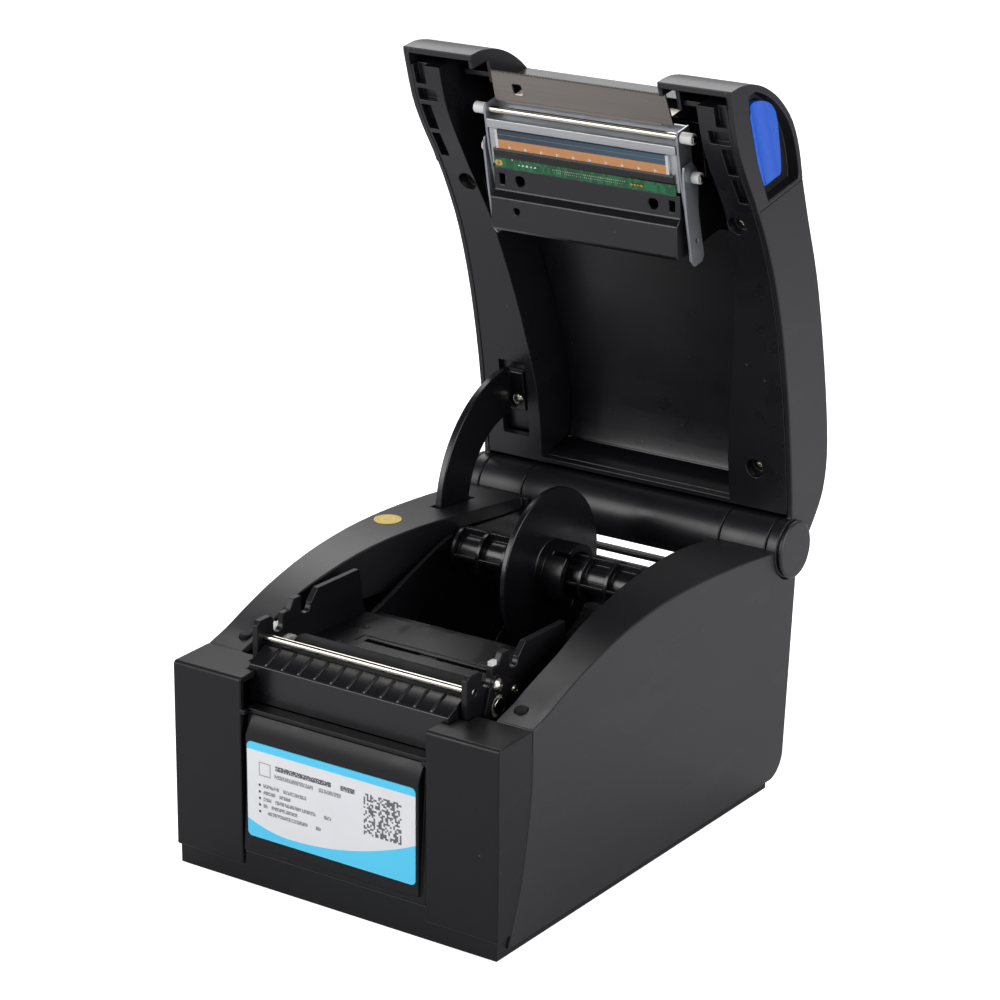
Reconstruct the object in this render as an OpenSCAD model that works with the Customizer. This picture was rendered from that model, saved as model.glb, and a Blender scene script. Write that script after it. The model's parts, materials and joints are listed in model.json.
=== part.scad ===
// Desktop direct thermal label printer with its roll cover open.
// Front faces -Y, +X is the right-hand side seen from the front, +Z is up. All sizes in millimetres.
// Everything is drawn in a build frame whose Y is 0 at the front face and whose Z is 0 under the base
// tray; place() then moves it so that the origin is on the table under the middle of the open printer.
// The lid and all that hangs on it is drawn closed, and lid_pose() swings it open about its hinge.

/* [Body] */
// Width over the side walls
body_w = 150; // [140:1:156]
// Wall thickness of the plastic shells
wall = 2.5; // [2:0.1:2.8]
// Height of the two front pillars
front_h = 83.5; // [82:0.5:84]
// How far the rubber feet stand out below the tray
foot_h = 1.5; // [1:0.5:3]

/* [Lid] */
// Angle from closed to the stop of the lid stay, degrees
lid_open = 77.7; // [40:0.1:80]
// Outer radius of the hinge barrel
barrel_r = 12; // [11:0.5:12]
// Radius of the steel hinge pins
pin_r = 3; // [2.5:0.5:4]

/* [Paper feed] */
// Radius of the rubber platen
platen_r = 7.5; // [6:0.5:7.5]
// Length of the rubber platen
platen_len = 82; // [70:1:84]
// Radius of the chrome tear rod
tear_rod_r = 1.4; // [1:0.1:1.5]
// Ribs on the output platform
platform_ribs = 11; // [5:1:15]

/* [Roll holder] */
// Radius over the ribs of the roll spindle
spindle_r = 9.5; // [8.5:0.5:9.5]
// Radius of the sliding roll flange
flange_r = 33.5; // [28:0.5:33.5]
// Rib discs along the spindle
spindle_discs = 8; // [6:2:8]

/* [Print head] */
// Length of the ceramic heater strip
ceramic_len = 80; // [72:1:82]
// How far the sprung head can lift
head_travel = 1; // [0.5:0.1:1]

/* [Controls] */
// Travel of the blue release buttons
release_travel = 3; // [2:0.5:3]
// Travel of the feed key
key_travel = 1; // [0.5:0.1:1]

/* [Hidden] */

half_w = body_w / 2;
in_w = half_w - wall;          // inner face of the side walls
hinge_y = 205.2;
hinge_z = 100.5;
tray_z = 2.6;                  // top of the tray floor
apron_z = 7.6;                 // top of the tray apron under the pillars
panel_z = 13.7;                // top of the tray apron under the front panel
ledge_z = 69;                  // ledge above the label pad
recess_w = 42.7;               // half width between the pillars
frame_x = 47;                  // inner face of the steel side frames
frame_t = 2.5;
bay_x = 45;                    // inner half width of the paper bay
platen_y = 34.5;
platen_z = 83.5;
rod_y = 21;                    // chrome tear rod
rod_z = 92.7;
bush_a = [28.9, 95.2];         // front and rear bushes of the print head, [y, z] with the lid closed
bush_b = [46, 97.6];
spindle_y = 146;
spindle_z = 93;
axle_r = 5;                    // spindle ends in their open cradles
head_z = platen_z + platen_r + 0.4;  // working face of the head with the lid closed
running = 0.05;                // radial clearance of turning fits
gear_m = 0.6;                  // gear module
platen_teeth = 30;
idler_teeth = 40;
pinion_teeth = 14;
idler_pos = [platen_y, platen_z] + gear_m * (platen_teeth + idler_teeth) / 2 * [cos(-55), sin(-55)];
motor_pos = idler_pos - [0, gear_m * (idler_teeth + pinion_teeth) / 2];
gear_x = -(frame_x + frame_t + 4.8);  // outer face of the gear train
gear_w = 4;
stay_x = -62;                  // outer face of the lid stay
stay_t = 3;
stay_r = [34, 54];             // inner and outer radius of the stay about the hinge
slot_r = [31, 56];             // the deck slot it runs in
stay_stop = 177.8 + lid_open;  // where the stop on the stay begins, degrees about the hinge
button_x = 74.4;               // outer face of the release buttons
$fn = 64;

// Smooth curve through hand-set points, n steps between each pair
function blend(a, b, c, d, t) = 0.5 * (2 * b + (c - a) * t + (2 * a - 5 * b + 4 * c - d) * t * t
                                + (3 * b - a - 3 * c + d) * t * t * t);
function curve(p, n = 3) = [for (i = [0:len(p) - 2]) for (k = [0:n - 1])
    blend(p[max(i - 1, 0)], p[i], p[i + 1], p[min(i + 2, len(p) - 1)], k / n), p[len(p) - 1]];
function reverse(p) = [for (i = [len(p) - 1:-1:0]) p[i]];
function shift(p, d) = [for (q = p) q + d];
function arc(c, r, a0, a1, n = 12) =
    [for (i = [0:n]) let (a = a0 + (a1 - a0) * i / n) c + r * [cos(a), sin(a)]];
// Height of a curve over y
function over(p, y) = lookup(y, p);
// A closed-lid point after the lid has swung open, [y, z]
function opened(p) = [hinge_y, hinge_z] + [(p[0] - hinge_y) * cos(lid_open) + (p[1] - hinge_z) * sin(lid_open),
                                           (p[1] - hinge_z) * cos(lid_open) - (p[0] - hinge_y) * sin(lid_open)];

// Side outlines, [y, z]
seam_line = curve([[7, 3], [10.5, 12], [15, 25], [19, 45], [21.2, 62], [21.5, 84]]);
deck_line = curve([[21.5, 84], [32, 87.2], [44, 92], [60, 97.5], [82, 102.8], [108, 106], [135, 106.5],
                   [165, 105], [193, 102.3]]);
lid_front = curve([[2.7, 85.4], [3.4, 94], [7, 104], [13, 113.2], [21, 121], [31, 127.2], [43, 130.4],
                   [56.5, 131.2]]);
lid_back = curve([[56.5, 131.2], [75, 133.3], [100, 136.6], [128, 137.5], [160, 136.5], [180, 134],
                  [193, 128.8], [201, 121.3], [207.5, 113]]);
lid_edge = curve([[4.8, 85.2], [24, 86.8], [38, 90.6], [52, 95.8], [68, 100.9], [90, 105.6], [118, 107.8],
                  [150, 107.4], [180, 105], [192, 103.5]]);
// Inner edge of the deck in plan, [x, y], right-hand side
deck_edge = curve([[58.6, 8], [58.8, 38], [59, 58], [57.1, 75], [54, 103], [46, 160], [45.4, 190]]);

rear_open = max([for (p = lid_back) opened(p)[0]]);
front_y = -1;                  // face of the front label
mid_y = (rear_open + front_y) / 2;

module place() translate([0, -mid_y, foot_h]) children();
module lid_pose() place() translate([0, hinge_y, hinge_z]) rotate([-lid_open, 0, 0])
    translate([0, -hinge_y, -hinge_z]) children();
module both() { children(); mirror([1, 0, 0]) children(); }
module box(x, y, z) translate([x[0], y[0], z[0]]) cube([x[1] - x[0], y[1] - y[0], z[1] - z[0]]);
// Outline [y, z] pushed along X from x[0] to x[1]
module slab(p, x) translate([x[0], 0, 0]) rotate([90, 0, 90]) linear_extrude(x[1] - x[0]) polygon(p);
// Outline [x, y] pushed along Z
module plan(p, z) translate([0, 0, z[0]]) linear_extrude(z[1] - z[0]) polygon(p);
module bar(x, p, r) translate([x[0], p[0], p[1]]) rotate([0, 90, 0]) cylinder(h = x[1] - x[0], r = r);
module post(p, z, r) translate([p[0], p[1], z[0]]) cylinder(h = z[1] - z[0], r = r);
module opening_plan(grow, z) plan(concat(shift(deck_edge, [grow, 0]),
    [for (q = reverse(deck_edge)) [-q[0] - grow, q[1]]]), z);
// Pan head with a cross recess on a short shank, head up along +Z
module pan_screw(r = 2.6, shank = 4) {
    difference() {
        rotate_extrude() polygon(concat([[0, 0], [r, 0]], arc([0, -r * 0.9], r * 1.345, 42, 90, 6)));
        for (a = [0, 90]) rotate(a) translate([-r * 0.55, -r * 0.12, r * 0.2]) cube([r * 1.1, r * 0.24, r]);
    }
    translate([0, 0, -shank]) cylinder(h = shank, r = r * 0.5);
}
// Spur gear with involute flanks, its axis along X
function involute(rb, t) = rb * [cos(t) + t * PI / 180 * sin(t), sin(t) - t * PI / 180 * cos(t)];
function flank(rb, r) = acos(rb / r) > 0 ? tan(acos(rb / r)) * 180 / PI : 0;
function turned(p, a) = [p[0] * cos(a) - p[1] * sin(a), p[0] * sin(a) + p[1] * cos(a)];
module gear(teeth, turn, x, p, bore) {
    pitch_r = gear_m * teeth / 2;
    base_r = pitch_r * cos(20);
    tip_r = pitch_r + gear_m * 0.9;
    root_r = pitch_r - gear_m * 1.2;
    t_tip = flank(base_r, tip_r);
    t_pitch = flank(base_r, pitch_r);
    at_pitch = involute(base_r, t_pitch);
    half = 90 / teeth - 0.08 / pitch_r * 180 / PI + atan2(at_pitch[1], at_pitch[0]);
    side = [for (i = [0:4]) turned(involute(base_r, t_tip * i / 4), -half)];
    tooth = concat([[root_r - 0.3, 0]], [turned([root_r, 0], -half - 0.5)], side,
                   [for (q = reverse(side)) [q[0], -q[1]]], [turned([root_r, 0], half + 0.5)]);
    translate([x[0], p[0], p[1]]) rotate([90, 0, 90]) linear_extrude(x[1] - x[0]) difference() {
        rotate(turn) union() {
            circle(root_r + 0.02);
            for (i = [0:teeth - 1]) rotate(i * 360 / teeth) polygon(tooth);
        }
        circle(bore);
    }
}

// ---- Base: tray, housing and front ----
tray_screw_y = [36, 158];
module base_tray() color("#1c1c1e") place() difference() {
    union() {
        box([-half_w + 1, half_w - 1], [1, 193.6], [0, tray_z]);
        box([-half_w + 1, half_w - 1], [1, 3.4], [0, apron_z]);
        box([-recess_w + 0.3, recess_w - 0.3], [1, 3.4], [0, panel_z - 0.2]);
        both() box([half_w - 3.4, half_w - 1], [1, 8.4], [0, apron_z]);
        both() box([in_w - 2.6, in_w - 0.4], [12, 188], [0, 9]);
        // posts under the side frames
        both() for (y = [26, 76]) box([frame_x - 2, frame_x + frame_t + 2], [y - 4, y + 4], [0, 18]);
        // posts under the main board
        for (x = [-60, 60]) for (y = [104, 184]) post([x, y], [0, 11], 3.5);
    }
    for (x = [-60, 60]) for (y = [104, 184]) post([x, y], [4, 12], 1.25);
    for (x = [-66, 66]) for (y = tray_screw_y) {
        post([x, y], [-1, 1.6], 3.4);
        post([x, y], [1, 3], 1.1);
    }
}

module rubber_feet() color("#2b2b2b") place() for (x = [-60, 60]) for (y = [22, 172])
    translate([x, y, -foot_h]) rotate_extrude() polygon([[0, 0], [6, 0], [7, foot_h], [0, foot_h]]);

module tray_screws() color("#c9c9c4") place() for (x = [-66, 66]) for (y = tray_screw_y)
    translate([x, y, 1.6]) rotate([180, 0, 0]) pan_screw(2.2, 1);

body_outline = concat(seam_line, deck_line, [[204, 96], [210.3, 88]],
                      arc([194, 14], 11.2, 4, -79, 6), [[194, 3]]);
body_hollow = concat([[-5, -5], [-5, 84 - wall]], [for (p = deck_line) if (p[0] < 188) p - [0, wall]],
                     [[190.5, 98.5], [190.5, 86], [198, 80], [207.4, 80], [202.6, 14], [200, -5]]);

module main_housing() color("#3a3a3d") place() difference() {
    union() {
        difference() {
            union() {
                slab(body_outline, [-half_w, half_w]);
                both() bar([48.4, 69.6], [hinge_y, hinge_z], barrel_r);
            }
            slab(body_hollow, [-in_w, in_w]);
            // room for the lid's end rings and its middle barrel
            both() bar([69.6, 80], [hinge_y, hinge_z], barrel_r + 0.5);
            bar([-48.4, 48.4], [hinge_y, hinge_z], barrel_r + 0.5);
        }
        // skirt round the bay, hanging from the deck
        intersection() {
            slab(body_outline, [-half_w, half_w]);
            difference() {
                opening_plan(2, [84, 110]);
                box([-half_w, half_w], [0, 22], [80, 112]);
                slab(concat([[84, 80]], shift(bay_top, [0, 0.3]), [[194, 80]]), [-bay_x - 2.2, bay_x + 2.2]);
            }
        }
        // guide bar across the rear paper slot
        box([-44, 44], [204.6, 208.4], [81.4, 83.4]);
    }
    difference() {
        opening_plan(0, [60, 120]);
        box([-44, 44], [204.5, 208.5], [81.3, 83.5]);
    }
    // seats for the rubber bumpers
    both() post([64, 30], [over(deck_line, 30) - 1.2, 120], 2.4);
    // rear paper slot, open up to the lid's barrel
    difference() {
        box([-43, 43], [189, 216], [77, 112]);
        box([-44, 44], [204.5, 208.5], [81.3, 83.5]);
    }
    // slot in the left deck for the lid stay
    box([stay_x - 1, stay_x + stay_t + 1], [hinge_y - slot_r[1], hinge_y - slot_r[0]], [90, 112]);
    // pin bores
    both() bar([40, 71], [hinge_y, hinge_z], pin_r);
    // opening for the sockets
    box([-64, 64], [198, 215], [12.5, 34]);
}

bezel_back = [for (p = reverse(seam_line)) if (p[1] > apron_z + 0.3) p - [0.25, 0]];
module front_bezel() color("#242427") place() difference() {
    slab(concat([[0, apron_z + 0.2], [0, front_h - 1], [1, front_h]], bezel_back, [[8.4, apron_z + 0.2]]),
         [-half_w, half_w]);
    box([-in_w, in_w], [wall, 40], [0, front_h - wall]);
    box([-recess_w + 2, recess_w - 2], [-1, 40], [ledge_z, 100]);
    // room for the platform and the steel frames behind the pillars
    box([-46.6, 46.6], [9.4, 40], [ledge_z, 100]);
    box([-50.8, 50.8], [15.6, 40], [ledge_z, 100]);
    box([-recess_w, recess_w], [-1, 9.4], [ledge_z + 2, 100]);
    box([-recess_w, recess_w], [-1, 9.4], [0, ledge_z]);
}
module front_panel() color("#232326") place() {
    slab([[0.6, panel_z], [4, ledge_z], [6.4, ledge_z], [3, panel_z]], [-recess_w + 0.15, recess_w - 0.15]);
    // raised pad for the label, its bevels running back into the sloping panel
    slab([[-0.6, panel_z + 3], [-0.6, 62], [3.6, ledge_z], [4.6, ledge_z], [1.6, panel_z + 3]], [-40, 40]);
    // ledge over the pad
    box([-recess_w + 0.15, recess_w - 0.15], [3.4, 9.3], [ledge_z, ledge_z + 2]);
}

module rounded_tile(x, y, z, r) {
    box(x, y, [z[0] + r, z[1] - r]);
    box([x[0] + r, x[1] - r], y, z);
    for (a = [x[0] + r, x[1] - r]) for (b = [z[0] + r, z[1] - r])
        translate([a, y[0], b]) rotate([-90, 0, 0]) cylinder(h = y[1] - y[0], r = r);
}
module front_label() color("#9fd0e8") place() rounded_tile([-39, 39], [-1, -0.6], [21.5, 60], 2);

// ---- Paper path ----
module output_platform() color("#2a2a2d") place() difference() {
    union() {
        slab([[9.6, ledge_z + 2.1], [9.6, 85.6], [10.4, 86.4], [18.8, 90.3], [20.2, 90.6], [25.4, 89],
              [25.4, 71]], [-46, 46]);
        // low ribs that carry the label out
        for (i = [0:platform_ribs - 1]) translate([-42 + 84 * (i + 0.5) / platform_ribs, 0, 0])
            slab([[9.8, 85.4], [10.4, 87], [18.6, 90.9], [19.2, 90]], [-0.5, 0.5]);
    }
    slab([[12, 60], [12, 84.2], [19, 87.6], [23.4, 86.6], [23.4, 60]], [-44, 44]);
    bar([-47, 47], [rod_y, rod_z], tear_rod_r + 0.6);
}
module tear_rod() color("#e6e6e6") place()
    bar([-frame_x - frame_t, frame_x + frame_t], [rod_y, rod_z], tear_rod_r);

frame_outline = [[16.2, 18], [16.2, 98.4], [17.8, 100], [24.4, 100], [25.8, 98.8], [36, 98.9], [38.4, 102.7],
                 [80, 102.5], [84.5, 80], [84.5, 18]];
module side_frame(x) difference() {
    slab(frame_outline, x);
    for (b = [bush_a, bush_b]) {
        bar([x[0] - 1, x[1] + 1], b, 2.9);
        box([x[0] - 1, x[1] + 1], [b[0] - 2.9, b[0] + 2.9], [b[1], 110]);
    }
    // flared mouth of the rear notch
    slab([[48, 97], [54, 103], [48, 104]], [x[0] - 1, x[1] + 1]);
    bar([x[0] - 1, x[1] + 1], [platen_y, platen_z], 6);
    bar([x[0] - 1, x[1] + 1], [rod_y, rod_z], tear_rod_r);
    bar([x[0] - 1, x[1] + 1], idler_pos, 2);
    bar([x[0] - 1, x[1] + 1], motor_pos, 5);
    for (z = [30, 72]) bar([x[0] - 1, x[1] + 1], [70, z], 1.5);
}
module frame_left() color("#2d2d30") place() side_frame([-frame_x - frame_t, -frame_x]);
module frame_right() color("#2d2d30") place() side_frame([frame_x, frame_x + frame_t]);
module frame_tie() color("#9a9c9e") place() difference() {
    union() {
        box([-frame_x, frame_x], [66, 67.5], [26, 76]);
        both() box([frame_x - 9, frame_x], [66, 74], [26, 34]);
        both() box([frame_x - 9, frame_x], [66, 74], [68, 76]);
    }
    both() box([frame_x - 7.5, frame_x - 1.5], [67.5, 75], [20, 80]);
    for (x = [-20, 20]) translate([x, 60, 50]) rotate([-90, 0, 0]) cylinder(h = 20, r = 8);
}
plate_t = 1.5;
plate_screws = [[34, 91.6, 2.9], [44.6, 86.4, 2]];  // y, z and head radius
module retaining_plate() color("#1f1f21") place() difference() {
    slab(concat(arc([34.5, 84], 9, 190, 300, 8), arc([45, 86], 4, 300, 430, 6), arc([33, 92], 4, 60, 170, 6)),
         [frame_x + frame_t, frame_x + frame_t + plate_t]);
    bar([40, 60], [platen_y, platen_z], 4.4);
    bar([40, 60], bush_a, 2.9);
    for (s = plate_screws) bar([40, 60], [s[0], s[1]], s[2] / 2);
}
module frame_screws() color("#c9c9c4") place() {
    for (s = plate_screws) translate([frame_x + frame_t + plate_t, s[0], s[1]]) rotate([0, 90, 0])
        pan_screw(s[2], plate_t);
    both() for (z = [30, 72]) translate([frame_x + frame_t, 70, z]) rotate([0, 90, 0]) pan_screw(2.9, frame_t);
}
module platen_bushes() color("#eeeeea") place() {
    both() difference() {
        bar([frame_x - 1.5, frame_x + frame_t], [platen_y, platen_z], 6);
        bar([0, 90], [platen_y, platen_z], 3 + running);
    }
    // nylon stop on the frame top
    box([frame_x + 0.2, frame_x + frame_t - 0.2], [32.4, 35.6], [98.95, 101]);
}
module platen_shaft() color("#d8d8d8") place() {
    bar([-platen_len / 2, platen_len / 2], [platen_y, platen_z], 4);
    bar([-frame_x - frame_t - 5.4, frame_x + frame_t + 1.9], [platen_y, platen_z], 3);
}
module platen_rubber() color("#161616") place() difference() {
    bar([-platen_len / 2, platen_len / 2], [platen_y, platen_z], platen_r);
    bar([-60, 60], [platen_y, platen_z], 4);
}
module platen_gear() color("#e4e2da") place()
    gear(platen_teeth, 0, [gear_x, gear_x + gear_w], [platen_y, platen_z], 3);
// the idler and the pinion are turned so that their teeth sit in the gaps of the wheel before them
module idler_gear() color("#e4e2da") place() {
    gear(idler_teeth, mesh_turn(platen_teeth, 0, idler_teeth, -55), [gear_x, gear_x + gear_w], idler_pos, 1.9);
    bar([gear_x - 0.6, -frame_x - 0.1], idler_pos, 2 - running);
}
module motor_pinion() color("#c8a24a") place() {
    gear(pinion_teeth, mesh_turn(idler_teeth, mesh_turn(platen_teeth, 0, idler_teeth, -55), pinion_teeth, -90),
         [gear_x, gear_x + gear_w], motor_pos, 1.4);
    bar([gear_x - 0.6, -frame_x + 3], motor_pos, 1.5);
}
// Turn of a wheel that meshes with one turned by t, its centre lying at angle a from the first's
function mesh_turn(n1, t, n2, a) = a + 180 + 180 / n2 + (a - t) * n1 / n2;

motor_w = 34;
module motor_case() color("#55565a") place() difference() {
    union() {
        translate([-frame_x, motor_pos[0] - motor_w / 2, motor_pos[1] - motor_w / 2])
            cube([30, motor_w, motor_w]);
        bar([-frame_x - 1.2, -frame_x + 1], motor_pos, 5);
    }
    bar([-frame_x - 2, -frame_x + 4], motor_pos, 1.5 + running);
    for (a = [-16, 16]) for (b = [-16, 16]) translate([0, a, b])
        bar([-60, 0], motor_pos, 2.2);
}
module paper_guide() color("#3b3c3f") place() difference() {
    union() {
        box([-frame_x + 0.2, frame_x - 0.2], [43.2, 84], [82, 83.8]);
        box([-frame_x + 0.2, frame_x - 0.2], [82.4, 84], [74, 83.8]);
        box([-frame_x + 0.2, frame_x - 0.2], [43.2, 44.4], [78, 83.8]);
        both() for (y = [52, 70]) post([36, y], [83.8, 84.3], 1.2);
    }
    box([-32, 32], [56.5, 63.5], [70, 90]);
    box([34, 40], [56, 64], [82.9, 90]);
}
module sensor_rail() color("#0d0d0f") place() difference() {
    box([-31.9, 31.9], [56.6, 63.4], [76, 83.4]);
    box([-29, 29], [58.4, 61.6], [77.6, 90]);
}
module sensor_slider() color("#5b2222") place() box([-4, 4], [58.7, 61.3], [77.9, 82.6]);

bay_top = curve([[84.6, 82.2], [96, 85.6], [115, 92.4], [136, 99], [150, 99.8], [190, 97]]);
bay_floor = arc([143, 88], 54, 187, 340, 20);
module paper_bay() color("#17171a") place() difference() {
    slab(concat(bay_top, [[190.2, 74]], [for (p = reverse(bay_floor)) if (p[0] > 92) p], [[84.6, 78]]),
         [-bay_x - 2, bay_x + 2]);
    slab(concat([[80, 81.8], [80, 120], [200, 120], [200, 76]], reverse(arc([143, 88], 52, 187, 340, 20))),
         [-bay_x, bay_x]);
    // open cradles for the spindle ends
    bar([-60, 60], [spindle_y, spindle_z], axle_r + running);
    both() box([bay_x - 1, bay_x + 3], [spindle_y - axle_r - running, spindle_y + axle_r + running],
               [spindle_z, 120]);
    // the rear wall is cut down for fan-fold paper from the slot
    box([-bay_x, bay_x], [185, 200], [75.5, 120]);
}

// ---- Electronics and rear sockets ----
module main_board() color("#1f6b3a") place() difference() {
    box([-68, 68], [99, 200.4], [11, 12.6]);
    for (x = [-60, 60]) for (y = [104, 184]) post([x, y], [10, 14], 1.6);
}
module board_chips() color("#202020") place() {
    box([-14, 6], [120, 140], [12.6, 14.4]);
    box([20, 32], [124, 134], [12.6, 14]);
    for (x = [-40, -30]) post([x, 120], [12.6, 22], 4);
    for (i = [0:4]) box([18 + 7 * i, 22 + 7 * i], [150, 154], [12.6, 14]);
}
module io_plate() color("#2c2c2f") place() difference() {
    box([-64, 64], [200.6, 202.2], [12.7, 33.8]);
    box([-59.2, -45.8], [199, 204], [12, 28.2]);
    box([-37.2, -25.8], [199, 204], [12, 24.3]);
    box([-19.3, 12.3], [199, 204], [12, 26]);
    box([17.8, 33.2], [199, 204], [12, 27.2]);
    box([40.8, 60.2], [199, 204], [15.8, 29.2]);
}
module dc_jack() color("#101012") place() difference() {
    box([-37, -26], [190, 204.4], [12.6, 24]);
    translate([-31.5, 196, 18.4]) rotate([-90, 0, 0]) difference() {
        cylinder(h = 20, r = 2.9);
        cylinder(h = 7.4, r = 1.05);
    }
}
module usb_socket() color("#c4c4c2") place() {
    difference() {
        box([18, 33], [188, 204.8], [12.6, 27]);
        box([19.5, 31.5], [190, 206], [14.4, 25.2]);
    }
    box([22.5, 28.5], [189.9, 203], [18.2, 21.4]);
}
module serial_socket() color("#b9babc") place() difference() {
    union() {
        box([-19, 12], [196, 203.4], [12.7, 25.6]);
        slab([[203.3, 14.4], [203.3, 24], [206.6, 24], [206.6, 14.4]], [-11.5, 4.5]);
    }
    box([-10.7, 3.7], [203, 207], [15.2, 23.2]);
    for (x = [-16, 9]) translate([x, 198, 19.2]) rotate([-90, 0, 0]) cylinder(h = 8, r = 1.5);
    for (i = [0:4]) translate([-9 + 2.75 * i, 197, 21.4]) rotate([-90, 0, 0]) cylinder(h = 8, r = 0.6);
    for (i = [0:3]) translate([-7.6 + 2.75 * i, 197, 17.6]) rotate([-90, 0, 0]) cylinder(h = 8, r = 0.6);
}
module drawer_socket() color("#18181a") place() difference() {
    box([-59, -46], [188, 204.2], [12.6, 28]);
    box([-57.4, -47.6], [190, 206], [16.6, 25.4]);
    box([-54.4, -50.6], [190, 206], [14.4, 17]);
}
module switch_frame() color("#1a1a1c") place() difference() {
    union() {
        box([41, 60], [192, 202.6], [16, 29]);
        box([40, 61], [202.3, 203.6], [15, 30]);
    }
    box([43, 58], [194, 206], [18, 27]);
}
module switch_rocker() color("#8a1c1c") place() difference() {
    slab([[202.6, 18.6], [205.4, 18.9], [204, 22.5], [202.9, 26.4], [199.4, 26.4], [198, 22.5], [198, 19.4]],
         [43.4, 57.6]);
    bar([40, 62], [201, 22.5], 1.2);
}
module hinge_pins() color("#cfcfcf") place() both()
    bar([42, 73.6], [hinge_y, hinge_z], pin_r);
module deck_bumpers() color("#111112") place() both()
    post([64, 30], [over(deck_line, 30) - 1.2, over(deck_line, 30) + 0.9], 2.4);
module deck_sticker() color("#c9a94a") place()
    translate([-66.2, 124.5, over(deck_line, 124.5) + 0.04]) rotate([0.6, 0, 0]) cylinder(h = 0.3, r = 5.6);

// ---- Roll holder ----
module roll_spindle() color("#1d1d20") place() {
    bar([-bay_x - 1.8, bay_x + 1.8], [spindle_y, spindle_z], axle_r);
    bar([-43.6, 43.6], [spindle_y, spindle_z], axle_r + 1.5);
    for (i = [0:spindle_discs - 1]) {
        x = 42.8 * (2 * i / (spindle_discs - 1) - 1);
        bar([x - 0.8, x + 0.8], [spindle_y, spindle_z], spindle_r);
    }
    for (a = [0:90:270]) translate([0, spindle_y, spindle_z]) rotate([a, 0, 0])
        box([-43.6, 43.6], [-0.7, 0.7], [0, spindle_r - 0.1]);
}
module roll_flange() color("#1a1a1d") place() difference() {
    union() {
        bar([-3, -0.6], [spindle_y, spindle_z], flange_r);
        bar([-0.7, 3], [spindle_y, spindle_z], spindle_r + 3);
    }
    bar([-10, 20], [spindle_y, spindle_z], spindle_r + running);
}
module flange_collar() color("#202023") place() difference() {
    bar([3, 12], [spindle_y, spindle_z], spindle_r + 3.2);
    bar([-10, 20], [spindle_y, spindle_z], spindle_r + running);
    // split and finger notches
    for (a = [35, 155, 275]) translate([0, spindle_y, spindle_z]) rotate([a, 0, 0])
        box([5, 13], [-1.1, 1.1], [spindle_r - 2, spindle_r + 5]);
}

// ---- Lid, drawn closed ----
function inset(p, d) = [for (i = [0:len(p) - 1]) let (a = p[max(i - 1, 0)], b = p[min(i + 1, len(p) - 1)],
    t = (b - a) / norm(b - a)) p[i] + d * [t[1], -t[0]]];
front_in = inset(lid_front, wall);
back_in = inset(lid_back, wall);
mouth_w = 42.5;                // half width of the label mouth
split_y = 56.5;                // joint between the front and the rear cover

module lid_ring_bore() both() bar([38, 74], [hinge_y, hinge_z], pin_r + running);
module lid_cover() color("#2f2f32") lid_pose() difference() {
    union() {
        difference() {
            slab(concat(lid_back, reverse(back_in)), [-half_w, half_w]);
            // the middle barrel and the deck knuckles turn under the rear edge
            both() bar([48, 69.9], [hinge_y, hinge_z], barrel_r + 0.4);
        }
        both() slab(concat([[split_y, 97]], [for (p = lid_edge) if (p[0] > split_y) p],
            [[hinge_y, hinge_z], [211, 110.8]], reverse(lid_back)), [in_w, half_w]);
        both() bar([70, half_w], [hinge_y, hinge_z], barrel_r);
        bar([-48, 48], [hinge_y, hinge_z], barrel_r);
        // web from the barrel up to the skin
        slab([[197, 108], [199.5, 121], [207, 112.6], [205, 108]], [-48, 48]);
    }
    lid_ring_bore();
}
front_side = concat([for (p = lid_edge) if (p[0] < split_y) p], [[split_y, 97]], reverse(lid_front));
module lid_front_cover() color("#2b2b2e") lid_pose() difference() {
    union() {
        slab(concat(lid_front, reverse(front_in)), [-half_w, half_w]);
        both() slab(front_side, [in_w, half_w]);
        // cheeks and back wall of the label mouth
        both() slab(concat([[2.7, 85.4], [8.6, 85.8], [9, 97]], [[19, 98], [27, 123]],
                           reverse([for (p = lid_front) if (p[0] < 27) p])), [mouth_w, mouth_w + 1.8]);
        slab([[22, 121], [15.5, 100], [17.7, 100], [24.4, 121]], [-57.5, 57.5]);
        // floor and walls of the button recesses
        both() slab(concat(shift(recess_sill, [0, -1.4]), [[split_y - 0.2, 103.8], [split_y - 0.2, 128.6]],
                           reverse([for (p = inset(lid_front, 1.2)) if (p[0] > 7 && p[0] < split_y - 2) p])),
                    [68.6, half_w - 0.1]);
    }
    box([-mouth_w, mouth_w], [-1, 21.8], [80, 121.6]);
    // the sides are set back between a low sill and the arch, leaving the button standing free
    both() button_recess([70, 80]);
    // well that the button slides in
    both() slab(inset(button_face, -0.35), [68, 71]);
    key_hole();
    for (i = [0:2]) translate([-20 + 5 * i, 40, 120]) cylinder(h = 20, r = 1.25);
}
recess_sill = [[8.6, 97], [18, 96.4], [37, 99.2], [split_y - 1.6, 105]];
module button_recess(x) slab(concat(recess_sill, [[split_y - 1.6, 128]],
    reverse([for (p = front_in) if (p[0] > 8.6 && p[0] < split_y - 3) p])), x);
module key_hole() translate([20, 40, 120]) cylinder(h = 20, r = 5.3);

lid_top_in = concat([for (p = front_in) if (p[1] > 100) p], [for (p = back_in) if (p[0] > split_y + 1) p]);
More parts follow.
